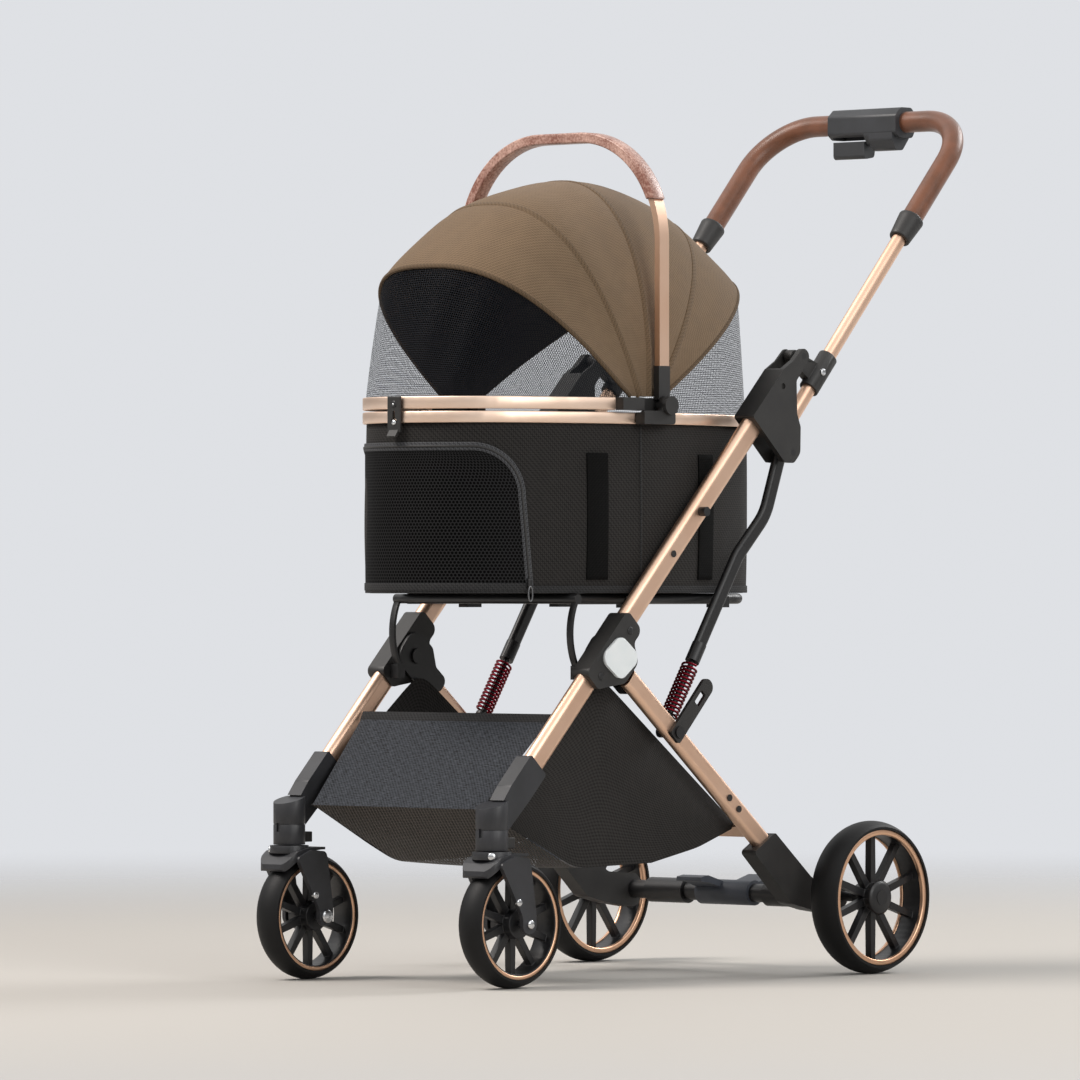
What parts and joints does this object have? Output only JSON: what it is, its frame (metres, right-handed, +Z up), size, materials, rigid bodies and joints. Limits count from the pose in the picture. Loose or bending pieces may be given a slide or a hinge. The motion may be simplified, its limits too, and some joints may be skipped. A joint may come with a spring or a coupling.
{
  "type": "pet stroller",
  "caption": "Folding four-wheeled pet stroller: tube frame with casters, lift-off oval cabin with folding canopy and nets, carry handle and basket.",
  "frame": {"origin": "centre of the bottom of the bounding box, on the floor that the wheels stand on", "axes": "+Z up; the stroller's front faces -Y, and +X is to the left of a person who pushes it"},
  "size_m": [0.491, 0.8975, 1.0375],
  "materials": {
    "tyre_rubber": "matte",
    "wheel_plastic": "satin",
    "black_plastic": "satin",
    "rose_gold": "satin metallic",
    "cap_plastic": "gloss",
    "black_steel": "satin",
    "red_spring": "satin",
    "brown_leather": "smooth",
    "pink_leather": "grained",
    "dark_fabric": "woven",
    "pad_fabric": "woven",
    "board": "matte",
    "khaki_fabric": "woven",
    "net": "open net"
  },
  "bodies": {
    "base": {"rear_legs": "rose_gold", "leg_pivot_plates": "black_steel", "rear_brackets": "black_plastic", "rear_axle": "black_steel", "rear_wheel_pins": "black_steel", "basket_rear_bar": "rose_gold", "leg_fasteners": "black_steel"},
    "frame": {"main_tubes": "rose_gold", "hub_sleeves": "black_plastic", "hub_caps": "cap_plastic", "caster_sockets": "black_plastic", "fold_housings": "black_plastic", "carrier_hoop": "black_steel", "frame_fasteners": "black_steel", "storage_basket": "dark_fabric"},
    "struts": {"struts": "black_steel", "strut_springs": "red_spring"},
    "strut_rods": {"strut_rods": "black_steel"},
    "handle": {"handle_bar": "rose_gold", "handle_grip": "brown_leather", "grip_collars": "black_plastic", "handle_sleeves": "black_plastic", "trigger_housing": "black_plastic"},
    "trigger": {"trigger": "black_plastic"},
    "carrier": {"cabin_shell": "dark_fabric", "cabin_floor": "board", "cabin_pad": "pad_fabric", "lower_rim": "rose_gold", "side_brackets": "black_plastic", "canopy_rib_5": "dark_fabric", "canopy_panel_4": "khaki_fabric", "net_rear": "net"},
    "carry_handle": {"carry_handle": "rose_gold", "carry_grip": "pink_leather", "carry_sockets": "black_plastic"},
    "gate": {"upper_rim": "rose_gold", "gate_hinges": "black_plastic", "net_front": "net"},
    "latch": {"latch": "black_plastic"},
    "canopy_rear_bow": {"canopy_rib_4": "dark_fabric", "canopy_panel_3": "khaki_fabric"},
    "canopy_middle_bow": {"canopy_rib_3": "dark_fabric", "canopy_panel_2": "khaki_fabric"},
    "canopy_front_bow": {"canopy_rib_2": "dark_fabric", "canopy_panel_1": "khaki_fabric"},
    "canopy_brim": {"canopy_rib_1": "dark_fabric"},
    "brake": {"brake_pedal": "black_plastic"},
    "fold_lock": {"fold_lock_strap": "black_plastic"},
    "rear_wheel_left": {"rear_tyre_left": "tyre_rubber", "rear_rim_left": "wheel_plastic"},
    "front_wheel_left": {"front_tyre_left": "tyre_rubber", "front_rim_left": "wheel_plastic"},
    "caster_left": {"caster_fork_left": "black_plastic"},
    "caster_lock_left": {"caster_lock_left": "black_plastic"},
    "rear_wheel_right": {"rear_tyre_right": "tyre_rubber", "rear_rim_right": "wheel_plastic"},
    "front_wheel_right": {"front_tyre_right": "tyre_rubber", "front_rim_right": "wheel_plastic"},
    "caster_right": {"caster_fork_right": "black_plastic"},
    "caster_lock_right": {"caster_lock_right": "black_plastic"}
  },
  "joints": [
    {"name": "frame_fold", "type": "hinge", "parent": "base", "child": "frame", "pos_m": [0, -0.20815, 0.374], "axis": [1, 0, 0], "range_deg": [0, 58]},
    {"name": "strut_pivot", "type": "hinge", "parent": "frame", "child": "struts", "pos_m": [0, 0.09185, 0.613], "axis": [1, 0, 0], "range_deg": [-9.15, 0]},
    {"name": "strut_slide", "type": "slide", "parent": "struts", "child": "strut_rods", "axis": [0, -0.5363, -0.844], "range_m": [0, 0.10952], "deforming": ["strut_springs"]},
    {"name": "handle_fold", "type": "hinge", "parent": "frame", "child": "handle", "pos_m": [0, 0.11075, 0.7265], "axis": [1, 0, 0], "range_deg": [0, 88]},
    {"name": "trigger_squeeze", "type": "slide", "parent": "handle", "child": "trigger", "axis": [0, 0, 1], "range_m": [0, 0.008], "stiffness_N_per_m": 300, "springref_m": -0.004},
    {"name": "carrier_lift", "type": "slide", "parent": "frame", "child": "carrier", "axis": [0, 0, -1], "range_m": [-0.3, 0]},
    {"name": "carry_handle_swing", "type": "hinge", "parent": "carrier", "child": "carry_handle", "pos_m": [0, -0.11245, 0.6653], "axis": [1, 0, 0], "range_deg": [-60, 60]},
    {"name": "gate_lift", "type": "hinge", "parent": "carrier", "child": "gate", "pos_m": [0, -0.11245, 0.6653], "axis": [1, 0, 0], "range_deg": [-25, 0]},
    {"name": "latch_swing", "type": "hinge", "parent": "gate", "child": "latch", "pos_m": [0, -0.3949, 0.67275], "axis": [1, 0, 0], "range_deg": [-70, 0]},
    {"name": "canopy_fold", "type": "hinge", "parent": "carrier", "child": "canopy_rear_bow", "pos_m": [0, -0.11245, 0.6653], "axis": [1, 0, 0], "range_deg": [-17, 0]},
    {"name": "canopy_middle_fold", "type": "hinge", "parent": "canopy_rear_bow", "child": "canopy_middle_bow", "pos_m": [0, -0.11245, 0.6653], "axis": [1, 0, 0], "range_deg": [-28, 0]},
    {"name": "canopy_front_fold", "type": "hinge", "parent": "canopy_middle_bow", "child": "canopy_front_bow", "pos_m": [0, -0.11245, 0.6653], "axis": [1, 0, 0], "range_deg": [-18, 0]},
    {"name": "canopy_brim_fold", "type": "hinge", "parent": "canopy_front_bow", "child": "canopy_brim", "pos_m": [0, -0.11245, 0.6653], "axis": [1, 0, 0], "range_deg": [-21.5, 0]},
    {"name": "brake_press", "type": "hinge", "parent": "base", "child": "brake", "pos_m": [0, 0.17455, 0.09], "axis": [1, 0, 0], "range_deg": [0, 20]},
    {"name": "fold_lock_swing", "type": "hinge", "parent": "base", "child": "fold_lock", "pos_m": [0, -0.10527, 0.28721], "axis": [1, 0, 0], "range_deg": [0, 90]},
    {"name": "rear_wheel_spin_left", "type": "hinge", "parent": "base", "child": "rear_wheel_left", "pos_m": [0.2255, 0.17455, 0.09], "axis": [1, 0, 0], "continuous": true},
    {"name": "caster_swivel_left", "type": "hinge", "parent": "frame", "child": "caster_left", "pos_m": [0.163, -0.40315, 0.15], "axis": [0, 0, 1], "continuous": true},
    {"name": "front_wheel_spin_left", "type": "hinge", "parent": "caster_left", "child": "front_wheel_left", "pos_m": [0.163, -0.37315, 0.0735], "axis": [1, 0, 0], "continuous": true},
    {"name": "caster_lock_lift_left", "type": "slide", "parent": "frame", "child": "caster_lock_left", "axis": [0, 0, 1], "range_m": [0, 0.005]},
    {"name": "rear_wheel_spin_right", "type": "hinge", "parent": "base", "child": "rear_wheel_right", "pos_m": [-0.2255, 0.17455, 0.09], "axis": [1, 0, 0], "continuous": true},
    {"name": "caster_swivel_right", "type": "hinge", "parent": "frame", "child": "caster_right", "pos_m": [-0.163, -0.40315, 0.15], "axis": [0, 0, 1], "continuous": true},
    {"name": "front_wheel_spin_right", "type": "hinge", "parent": "caster_right", "child": "front_wheel_right", "pos_m": [-0.163, -0.37315, 0.0735], "axis": [1, 0, 0], "continuous": true},
    {"name": "caster_lock_lift_right", "type": "slide", "parent": "frame", "child": "caster_lock_right", "axis": [0, 0, 1], "range_m": [0, 0.005]}
  ],
  "couplings": [
    {"joint": "strut_pivot", "follows": "frame_fold", "ratio": -0.1577},
    {"joint": "strut_slide", "follows": "frame_fold", "m_per_rad": 0.10819},
    {"joint": "canopy_middle_fold", "follows": "canopy_fold", "ratio": 1.6294},
    {"joint": "canopy_front_fold", "follows": "canopy_fold", "ratio": 1.0353},
    {"joint": "canopy_brim_fold", "follows": "canopy_fold", "ratio": 1.2353}
  ]
}
